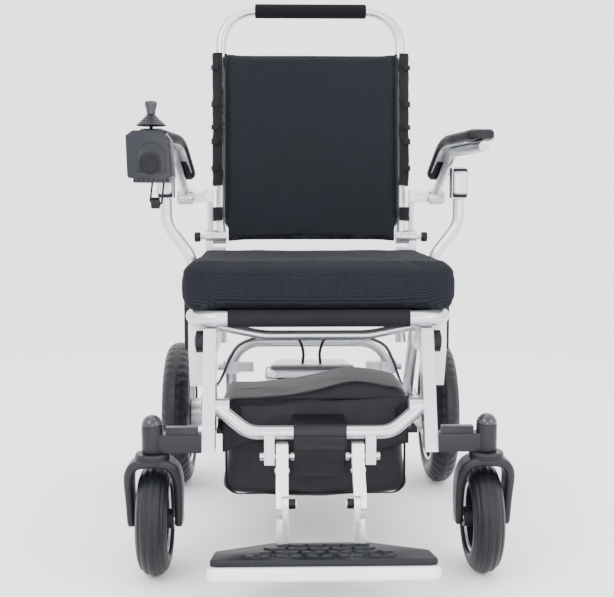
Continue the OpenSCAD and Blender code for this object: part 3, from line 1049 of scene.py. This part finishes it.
@dataclass
class UnderFrame:
    """The bush caps, plates, brackets, side guards and their screws, the battery and the motor leads."""

    def build(self) -> None:
        """Builds and dresses the under-frame."""
        softened("axle_plates", "chassis", SILVER, 0.0012, 2)
        softened("side_brackets", "chassis", WHITE, 0.003, 3)
        softened("side_guards", "chassis", BLACK_PLASTIC, 0.0022, 2)
        for side, word in SIDES:
            outward = Vector((side, 0, 0))
            bolt(f"leg_bush_cap_{word}", Vector((side * 0.199, -0.208, 0.372)), outward, 0.0125, 0.003,
                 "chassis", GLOSS_BLACK)
            for k, (y, z) in enumerate(((-0.15, 0.392), (-0.12, 0.388), (-0.15, 0.362))):
                bolt(f"bracket_screw_{word}_{k}", Vector((side * 0.2139, y, z)), outward, 0.0042, 0.0024,
                     "chassis")
            for k, (y, z) in enumerate(((-0.13, 0.42), (-0.02, 0.425), (0.03, 0.42), (0.02, 0.37))):
                bolt(f"guard_screw_{word}_{k}", Vector((side * 0.2239, y, z)), outward, 0.0035, 0.0018,
                     "chassis")
        self._battery()

    def _battery(self) -> None:
        """Rounds the battery case and gives it a lid seam, a handle recess frame and a socket."""
        softened("battery_case", "chassis", PLATE_SILVER, 0.008, 4)
        low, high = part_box("battery_case")
        centre = (low + high) / 2
        outline = slab_outline(high.x - low.x - 0.0004, high.y - low.y - 0.0004, 0.016, 8)
        strip = [(-0.003, -0.0008), (0.0002, -0.0008), (0.0002, 0.0008), (-0.003, 0.0008)]
        rings = []
        for a, b in outline:
            out = Vector((a, b, 0)).normalized()
            p = Vector((centre.x + a, centre.y + b, high.z - 0.018))
            rings.append([tuple(p + out * c + Vector((0, 0, d))) for c, d in strip])
        new_piece("battery_lid_seam", loft(rings, closed=True), BLACK_PLASTIC, "chassis")
        slot = soft_block(Vector((-0.068, low.y - 0.0012, 0.243)), Vector((0.068, low.y + 0.003, 0.259)),
                          0.002, 0.008)
        new_piece("battery_slot", slot, BLACK_PLASTIC, "chassis")
        band = soft_block(Vector((-0.082, low.y + 0.004, high.z - 0.004)),
                          Vector((0.082, low.y + 0.036, high.z + 0.0035)), 0.003, 0.006)
        new_piece("battery_top_band", band, GREY_PLASTIC, "chassis")
        self._cables()

    def _cables(self) -> None:
        """Loops one motor cable a side from the battery, over and back down to its wheel."""
        route = [(0.018, 0.165, 0.274), (0.0165, 0.160, 0.300), (0.026, 0.149, 0.328), (0.05, 0.135, 0.342),
                 (0.078, 0.124, 0.343), (0.112, 0.132, 0.332), (0.145, 0.152, 0.314), (0.164, 0.184, 0.282),
                 (0.178, 0.218, 0.248), (0.189, 0.258, 0.224), (0.1995, 0.298, 0.206)]
        for side, word in SIDES:
            cable = new_piece(f"motor_lead_{word}", swept(smooth_path(mirrored(route, side), 6),
                              circle_outline(0.003, 12), Vector((0.3, 1, 0.2))), CABLE, "chassis")
            if side > 0:
                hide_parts("motor_cables")


@dataclass
class Bag:
    """The slack nylon bag under the seat with its flap, piping and straps."""

    slack_low: Point = (0.014, 0.004, 0.022)
    slack_high: Point = (0.006, 0.0, 0.0)
    hem: float = 0.004
    corner: float = 0.018
    cell: float = 0.0085

    def build(self) -> None:
        """Builds and dresses the bag."""
        low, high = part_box("storage_bag")
        low, high = low - Vector(self.slack_low), high + Vector(self.slack_high)
        hem = Vector((self.hem, self.hem, self.hem))
        mesh = soft_block(low + hem, high - hem, self.corner, self.cell)
        middle = (low + high) / 2
        half = (high - low) / 2

        def slump(p: Vector) -> Vector:
            """Sags the bag's floor, tips its mouth to one side and folds its cloth."""
            u, v = (p.x - middle.x) / half.x, (p.z - low.z) / (high.z - low.z)
            fold = noise.noise(Vector((p.x * 11 + p.z * 6, p.y * 9, p.z * 10))) * 0.0085
            crease = abs(math.sin(p.x * 26 + p.z * 34 + 2.2 * noise.noise(p * 8))) ** 0.6 * 0.004
            q = p.copy()
            q.x += -u * 0.011 * math.sin(math.pi * v) ** 2 - math.copysign(abs(fold) * 0.6, u) * abs(u) ** 4
            q.y += (crease + abs(fold)) * (1 if p.y < middle.y else -1)
            mound = 0.02 * math.exp(-((u - 0.4) / 0.42) ** 2) * max(0.0, v - 0.8) * 5
            sag = 0.012 * u * u * (1 - v) ** 2 - 0.014 * v ** 3 * (1 - u) / 2
            q.z += mound + sag - abs(fold) * 0.5 * (v - 0.3)
            return q

        reshape(mesh, slump)
        bag = new_piece("bag_body", mesh, NYLON, "chassis")
        subdivided(bag)
        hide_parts("storage_bag")
        softened("bag_flap", "chassis", NYLON, 0.0025, 3)
        self._cover(low, high, middle, half)
        self._piping(low, high)
        self._straps(low)
        self._tab()
        self._bundles(low, high)

    def _tab(self) -> None:
        """Hangs the loose end of the crossbar's flap in front of the bag."""
        path = [Vector((0, y, z)) for y, z in ((-0.2885, 0.232), (-0.2862, 0.222), (-0.279, 0.213),
                                               (-0.262, 0.206), (-0.243, 0.198), (-0.228, 0.188),
                                               (-0.2145, 0.174), (-0.2065, 0.158), (-0.2045, 0.146))]
        outline = slab_outline(0.0835, 0.0024, 0.0009, 3)
        sharpen(new_piece("bag_crossbar_tab", swept(path, outline, Vector((0, -1, 0.2))), NYLON, "chassis"))

    def _bundles(self, low: Vector, high: Vector) -> None:
        """Gathers a roll of slack webbing at each top corner."""
        for side, word in SIDES:
            size = 1.0 if side < 0 else 0.7
            for k in range(4):
                lift = high.z - 0.03 - k * 0.0075 * size
                route = [(side * (0.128 - k * 0.002), low.y + 0.012, lift - 0.016),
                         (side * 0.1335, low.y - 0.001, lift - 0.004 + 0.002 * math.sin(k * 2.1)),
                         (side * (0.146 + 0.002 * k), low.y - 0.003, lift + 0.004),
                         (side * (0.158 - 0.001 * k), low.y + 0.006, lift + 0.001 * k),
                         (side * 0.160, low.y + 0.022, lift - 0.009)]
                loop = swept(smooth_path(route, 6),
                             slab_outline(0.0068 * size, 0.0125 * size, 0.0028 * size, 3))
                new_piece(f"bag_webbing_{word}_{k}", loop, BINDING, "chassis")

    def _cover(self, low: Vector, high: Vector, middle: Vector, half: Vector) -> None:
        """Lays the folded front flap down the bag's face."""
        across, down = 44, 16
        rings = []
        for j in range(down + 1):
            v = j / down
            ring = []
            for thick in (0, 1):
                row = []
                for i in range(across + 1):
                    u = 2 * i / across - 1
                    length = 0.085 + 0.018 * math.sin(u * 4 + 0.7) + 0.012 * u
                    wave = noise.noise(Vector((u * 4, v * 2.4, 3))) * 0.005
                    y = low.y + 0.0045 + abs(wave) - thick * 0.0016
                    rumple = noise.noise(Vector((u * 3, v * 3, 8))) * 0.004
                    z = high.z - 0.021 + 0.009 * u - v * length + rumple
                    row.append((middle.x + u * (half.x - 0.007),
                                y - 0.0035 * math.sin(math.pi * min(1, v * 1.3)), z))
                ring += row if thick == 0 else row[::-1]
            rings.append(ring)
        flap = new_piece("bag_front_flap", loft(rings), NYLON, "chassis")

    def _piping(self, low: Vector, high: Vector) -> None:
        """Sews piping round the front panel's edge."""
        middle = (low + high) / 2
        outline = slab_outline(high.x - low.x - 0.026, high.z - low.z - 0.03, 0.022, 8)
        rings = []
        for a, b in outline:
            p = Vector((middle.x + a, low.y + 0.0095, middle.z + b - 0.002))
            out = Vector((a, 0, b)).normalized()
            rings.append([tuple(p + out * c + Vector((0, d, 0))) for c, d in circle_outline(0.0022, 8)])
        new_piece("bag_piping", loft(rings, closed=True), BINDING, "chassis")

    def _straps(self, low: Vector) -> None:
        """Runs the webbing that hangs the bag from the two legs and the lower rails."""
        for side, word in SIDES:
            top = low.z + 0.128 if side < 0 else low.z + 0.152
            path = smooth_path([
                (side * 0.1465, low.y + 0.03, top - 0.03),
                (side * 0.153, low.y + 0.022, top - 0.008),
                (side * 0.161, low.y + 0.002, top + 0.004),
                (side * 0.1645, low.y - 0.018, top + 0.01),
            ])
            strap = new_piece(f"bag_strap_{word}", swept(path, slab_outline(0.0016, 0.019, 0.0007, 2)),
                              BINDING, "chassis")
            sharpen(strap)


@dataclass
class Footrest:
    """The footplate's rounded frame, its tread pad and the hangers' fittings."""

    def build(self) -> None:
        """Builds and dresses the footrest."""
        softened("footplate", "footplate_flap", PLATE_SILVER, 0.006, 4)
        softened("footrest_hangers", "footrest", PLATE_SILVER, 0.002, 2)
        softened("footplate_stems", "footplate_flap", PLATE_SILVER, 0.002, 2)
        softened("footplate_pad", "footplate_flap", TYRE, 0.003, 3)
        self._tread()
        for side, word in SIDES:
            inner = Vector((-side, 0, 0))
            bolt(f"hanger_screw_{word}", Vector((side * 0.0504, -0.29, 0.178)), inner, 0.0042, 0.0024,
                 "footrest")
            place = facing(Vector((side * 0.0503, -0.33, 0.136)), inner)
            knob = [(0.001, 0), (0.0072, 0), (0.0078, 0.001), (0.0078, 0.0098), (0.0068, 0.0118),
                    (0.001, 0.0122)]
            sharpen(new_piece(f"hinge_knob_{word}", turned(knob, place, 10), BLACK_PLASTIC, "footrest"))
            outer = Vector((side, 0, 0))
            bolt(f"hanger_screw_outer_{word}", Vector((side * 0.0696, -0.29, 0.178)), outer, 0.0042, 0.0024,
                 "footrest")

    def _tread(self) -> None:
        """Moulds rows of raised lozenges over the tread pad."""
        low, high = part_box("footplate_pad")
        pad = bpy.data.objects["footplate_pad"].matrix_world
        mesh = bpy.data.objects["footplate_pad"].data
        world = [pad @ v.co for v in mesh.vertices]
        toe = max((p for p in world if p.y < low.y + 0.004), key=lambda p: p.z)
        heel = max((p for p in world if p.y > high.y - 0.012), key=lambda p: p.z)
        slope = (toe.z - heel.z) / (heel.y - toe.y)
        rows, columns = 4, 10
        back_half = max(abs(p.x) for p in world if p.y > high.y - 0.012)
        front_half = max(abs(p.x) for p in world if p.y < low.y + 0.004)
        for j in range(rows):
            y = low.y + 0.022 + (high.y - low.y - 0.048) * j / (rows - 1)
            level = heel.z + (heel.y - y) * slope
            reach = back_half + (front_half - back_half) * (high.y - y) / (high.y - low.y) - 0.024
            built = bmesh.new()
            for i in range(columns):
                x = reach * (2 * (i + 0.5 * (j % 2)) / columns - 1) + reach / columns * 0.5
                if abs(x) > reach:
                    continue
                turn = 0.55 if (i + j) % 2 else -0.55
                corners = []
                for along, across in ((1, 0), (0.35, 1), (-0.35, 1), (-1, 0), (-0.35, -1), (0.35, -1)):
                    a, b = along * 0.0135, across * 0.0052
                    corners.append((a * math.cos(turn) - b * math.sin(turn),
                                    a * math.sin(turn) + b * math.cos(turn)))
                base = [built.verts.new((x + a, y + b, level - b * slope - 0.001)) for a, b in corners]
                top = [built.verts.new((x + a * 0.74, y + b * 0.6, level - b * slope + 0.0026)) for a,
                       b in corners]
                built.faces.new(top)
                built.faces.new(base[::-1])
                for k in range(6):
                    m = (k + 1) % 6
                    built.faces.new((base[k], base[m], top[m], top[k]))
            bmesh.ops.recalc_face_normals(built, faces=built.faces)
            bumps = bpy.data.meshes.new("tread")
            built.to_mesh(bumps)
            built.free()
            new_piece(f"tread_row_{j}", bumps, TYRE, "footplate_flap", smooth=False)


@dataclass
class Armrests:
    """The arm pads, their bright edge rails, and the fittings at each end."""

    rail: tuple[Point, ...] = ((0.247, 0.168, 0.646), (0.2535, 0.131, 0.6775), (0.258, 0.092, 0.701),
                               (0.262, 0.050, 0.710), (0.2655, -0.005, 0.7105), (0.270, -0.06, 0.7105),
                               (0.276, -0.160, 0.710))

    def build(self) -> None:
        """Builds and dresses both armrests."""
        for side, word in SIDES:
            self._pad(side, word)
            for k, z in enumerate((0.652, 0.618)):
                bolt(f"clamp_screw_{word}_{k}", Vector((side * 0.2914, 0.08, z)), Vector((side, 0, 0)),
                     0.0046,
                     0.0028, "chassis")
            inner, outer = sorted((side * 0.2602, side * 0.2918))
            cover = soft_block(Vector((inner, 0.0642, 0.6035)), Vector((outer, 0.0958, 0.6628)), 0.004,
                               0.0045)
            new_piece(f"clamp_cover_{word}", cover, BLACK_PLASTIC, "chassis")
            bar = soft_block(Vector((min(inner, outer) + 0.003, 0.058, 0.612)),
                             Vector((max(inner, outer) - 0.003, 0.0648, 0.655)),
                             0.003, 0.004)
            new_piece(f"clamp_lever_{word}", bar, SILVER, "chassis")
        softened("armrest_mounts", "chassis", PLATE_SILVER, 0.0016, 2)

    def _pad(self, side: int, word: str) -> None:
        """Moulds one arm pad along its curve."""
        path = smooth_path(mirrored(self.rail, side), 7)
        low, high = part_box(f"arm_pad_{word}")

        def ends(t: float) -> float:
            """Rounds the pad's two ends."""
            reach = min(t, 1 - t) / 0.035
            return 1.0 if reach >= 1 else 0.72 + 0.28 * math.sqrt(max(0.0, 1 - (1 - reach) ** 2))

        outline = [(a, b * (1 + 0.1 * math.cos(math.pi * a / 0.044)) if b > 0 else b)
                   for a, b in slab_outline(0.0435, 0.0195, 0.0075, 6)]
        pad = new_piece(f"arm_pad_cover_{word}", swept(path, outline, taper=ends), BLACK_PLASTIC,
                        f"{word}_arm")
        for vertex in pad.data.vertices:
            vertex.co = [min(max(vertex.co[k], low[k] - 0.001), high[k] + 0.001) for k in range(3)]
        sharpen(pad, 70)
        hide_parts(f"arm_pad_{word}")
        self._edge(path, word)

    def _edge(self, path: list[Vector], word: str) -> None:
        """Runs the bright strip along the pad's lower edge."""
        strip = [p + Vector((0, 0, -0.0098)) for p in path[4:-4]]
        sharpen(new_piece(f"arm_edge_{word}", swept(strip, slab_outline(0.0385, 0.0034, 0.0015, 3)), SILVER,
                          f"{word}_arm"))


@dataclass
class Controller:
    """The joystick box: shell, arch with painted shade in its recess, socket, boot, knob and keys."""

    pivot: Point = (-0.266, -0.222, 0.699)
    body: str = "left_arm"

    def build(self) -> None:
        """Builds and dresses the controller."""
        softened("controller_housing", self.body, SHELL_GREY, 0.0045, 4)
        low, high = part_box("controller_housing")
        front = low.y
        self._arch(front)
        self._socket(front)
        self._boot()
        for k in range(7):
            x = -0.2905 + k * 0.0075
            rings = [[(x + a, front - 0.0002 + d, 0.6325 + b) for a,
                      b in slab_outline(0.0022, 0.005, 0.0008, 2)]
                     for d in (-0.0006, 0.003)]
            sharpen(new_piece(f"base_rib_{k}", loft(rings), BLACK_PLASTIC, self.body))
        for node, key in (("power_button", "power_key"), ("speed_button", "speed_key"),
                          ("horn_button", "horn_key")):
            softened(node, key, GREY_PLASTIC, 0.0007, 3)
        self._gauge(high.z)

    def _arch(self, front: float) -> None:
        """Frames the arch on the controller's front face and lays a black sheet inside it as painted shade.
        """
        points = [(-0.287, 0.645), (-0.287, 0.668), (-0.283, 0.681), (-0.274, 0.6895), (-0.264, 0.692),
                  (-0.254, 0.6895), (-0.2455, 0.681), (-0.2415, 0.668), (-0.2415, 0.645)]
        path = smooth_path([(x, front - 0.0002, z) for x, z in points], 5)
        new_piece("controller_arch",
                  swept(path, slab_outline(0.0024, 0.0022, 0.0008, 3), Vector((0, -1, 0))),
                  SHELL_GREY, self.body)

        # A black sheet inside the arch: painted shade, standing for the shadow in the arch's recess.
        inside = [(-0.2835, 0.6445), (-0.2835, 0.6605), (-0.281, 0.669), (-0.2745, 0.6745),
                  (-0.266, 0.6765),
                  (-0.2575, 0.6745), (-0.251, 0.669), (-0.2485, 0.6605), (-0.2485, 0.6445)]
        rings = [[(x, y, z) for x, z in inside] for y in (front - 0.0009, front + 0.002)]
        sharpen(new_piece("controller_recess_painted_shade", loft(rings), BLACK_PLASTIC, self.body))
        seat = [(0.001, 0.7092), (0.0275, 0.7092), (0.0272, 0.7100), (0.0235, 0.7106), (0.0175, 0.7122),
                (0.0115, 0.7132), (0.006, 0.7134), (0.006, 0.7126), (0.001, 0.7126)]
        place = Matrix.Translation(Vector((self.pivot[0], self.pivot[1], 0)))
        new_piece("boot_seat", turned(seat, place, 48), BLACK_PLASTIC, self.body)

    def _socket(self, front: float) -> None:
        """Rings the charging socket and stands its three pins inside."""
        centre = Vector((-0.266, front, 0.656))
        forwards = Vector((0, -1, 0))
        ring = [(0.0138, 0), (0.0138, 0.0012), (0.0128, 0.0022), (0.0116, 0.0022), (0.0108, 0.001),
                (0.0108, -0.003),
                (0.0124, -0.003)]
        new_piece("socket_ring", turned_ring(ring, facing(centre, forwards)), BLACK_PLASTIC, self.body)
        for k in range(3):
            angle = math.pi / 2 + TAU * k / 3
            at = centre + Vector((0.0052 * math.cos(angle), 0.0075, 0.0052 * math.sin(angle)))
            pin = [(0.0014, 0), (0.0014, 0.0052), (0.0009, 0.0062), (0.0002, 0.0062)]
            new_piece(f"socket_pin_{k}", turned(pin, facing(at, forwards), 16), STEEL, self.body)

    def _boot(self) -> None:
        """Turns the pleated boot and the knob about the stick."""
        x, y, _ = self.pivot
        place = Matrix.Translation(Vector((x, y, 0)))
        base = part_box("joystick_base")[1].z
        low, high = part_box("joystick_stick")
        foot = base + 0.014
        pleats = [(0.001, 0.0), (0.0245, 0.0), (0.025, 0.0015), (0.0205, 0.0035), (0.0212, 0.0052),
                  (0.0165, 0.007), (0.0172, 0.0088), (0.0128, 0.0105), (0.0134, 0.0122), (0.0092, 0.0142),
                  (0.0085, 0.018), (0.001, 0.018)]
        pleats = [(r, foot + h) for r, h in pleats]
        boot = new_piece("stick_boot", turned(pleats, place, 56), TYRE, "stick")
        subdivided(boot)
        waist = foot + 0.017
        stem = [(0.001, 0.0), (0.0066, 0.0), (0.0070, 0.003), (0.0075, 0.008), (0.0088, 0.013),
                (0.0098, 0.017), (0.01, 0.0195)]
        crown = [(0.0094, -0.0022), (0.0075, -0.0006), (0.0045, 0.0), (0.001, -0.0004)]
        knob = [(r, waist + h) for r, h in stem] + [(r, high.z + h) for r, h in crown]
        grip = new_piece("stick_knob", turned(knob, place, 40), GLOSS_BLACK, "stick")
        shaft = [(0.0005, low.z), (0.0028, low.z + 0.0004), (0.003, low.z + 0.002), (0.003, foot + 0.002),
                 (0.0005, foot + 0.003)]
        new_piece("stick_shaft", turned(shaft, place, 24), STEEL, "stick")
        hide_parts("joystick_stick")

    def _gauge(self, top: float) -> None:
        """Lays the charge gauge's row of lights across the top."""
        for k in range(5):
            x = -0.288 + k * 0.011
            rings = [[(x + a, -0.1975 + b, top + c) for a, b in slab_outline(0.0062, 0.0028, 0.001, 2)]
                     for c in (-0.001, 0.0005)]
            sharpen(new_piece(f"gauge_light_{k}", loft(rings), GREY_PLASTIC, self.body))


# ---- what stays from the frame, and the studio ----


@dataclass
class Dressing:
    """Gives each frame node that stays visible its finish."""

    finishes: dict[str, Finish] = field(default_factory=lambda: {
        "silver_frame": SILVER, "graphite_paint": GRAPHITE, "white_paint": WHITE, "steel": STEEL,
        "black_plastic": BLACK_PLASTIC, "grey_plastic": GREY_PLASTIC, "foam_grip": FOAM,
        "mesh_fabric": MESH, "bag_fabric": NYLON, "tyre_rubber": TYRE})

    def build(self, frame: dict) -> None:
        """Finishes every node's faces by the material slot that the record gives it."""
        for name in frame["nodes"]:
            node = bpy.data.objects.get(name)
            if node is None or node.type != "MESH" or not node.data.materials:
                continue
            for index, old in enumerate(node.data.materials):
                finish = self.finishes.get(old.name.split(".")[0]) if old else None
                if finish:
                    node.data.materials[index] = finish.material()
                else:
                    LOG.info("%s keeps %s", name, old.name if old else "nothing")


@dataclass
class Studio:
    """The camera, lights and floor."""

    focal: float = 61.24
    place: Point = (-0.0633, -1.900, 0.603)
    pitch: float = 84.57
    yaw: float = -1.51

    def _light(self, name: str, place: Point, size: float, power: float, aim: Point = (0, 0, 0.45)) -> None:
        """Hangs one soft square light.

        Args:
            name: The light's name.
            place: Where it hangs.
            size: Its side in metres.
            power: Its power in watts.
            aim: What it points at.
        """
        data = bpy.data.lights.new(name, "AREA")
        data.size = size
        data.energy = power
        lamp = bpy.data.objects.new(name, data)
        lamp.location = place
        lamp.rotation_euler = (Vector(aim) - Vector(place)).to_track_quat("-Z", "Y").to_euler()
        bpy.context.scene.collection.objects.link(lamp)

    def build(self) -> None:
        """Sets up the shot."""
        scene = bpy.context.scene
        data = bpy.data.cameras.new("camera")
        data.lens = self.focal
        data.sensor_width = 36
        data.dof.use_dof = False
        camera = bpy.data.objects.new("camera", data)
        camera.location = self.place
        camera.rotation_euler = (math.radians(self.pitch), 0, math.radians(self.yaw))
        scene.collection.objects.link(camera)
        scene.camera = camera
        self._light("key", (-1.6, -2.2, 2.3), 1.4, 48)
        self._light("fill", (1.9, -1.7, 1.3), 1.6, 30)
        self._light("top", (0, 0.3, 2.6), 2.4, 34)
        self._light("front", (0.1, -2.6, 0.7), 1.2, 14)
        world = bpy.data.worlds.new("studio")
        world.use_nodes = True
        world.node_tree.nodes["Background"].inputs["Color"].default_value = (0.97, 0.98, 1.0, 1)
        world.node_tree.nodes["Background"].inputs["Strength"].default_value = 2.6
        scene.world = world
        bpy.ops.mesh.primitive_plane_add(size=14, location=(0, 0, 0))
        floor = bpy.context.active_object
        floor.name = "floor"
        paper = bpy.data.materials.new("paper")
        paper.use_nodes = True
        paper.node_tree.nodes["Principled BSDF"].inputs["Base Color"].default_value = (0.93, 0.93, 0.935, 1)
        paper.node_tree.nodes["Principled BSDF"].inputs["Roughness"].default_value = 0.75
        floor.data.materials.append(paper)


def main() -> None:
    """Builds the whole scene."""
    logging.basicConfig(level=logging.INFO)
    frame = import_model()
    Dressing().build(frame)
    for assembly in (Seat(), Backrest(), Wheels(), Casters(), UnderFrame(), Bag(), Footrest(), Armrests(),
                     Controller(), Studio()):
        assembly.build()


if __name__ == "__main__":
    main()
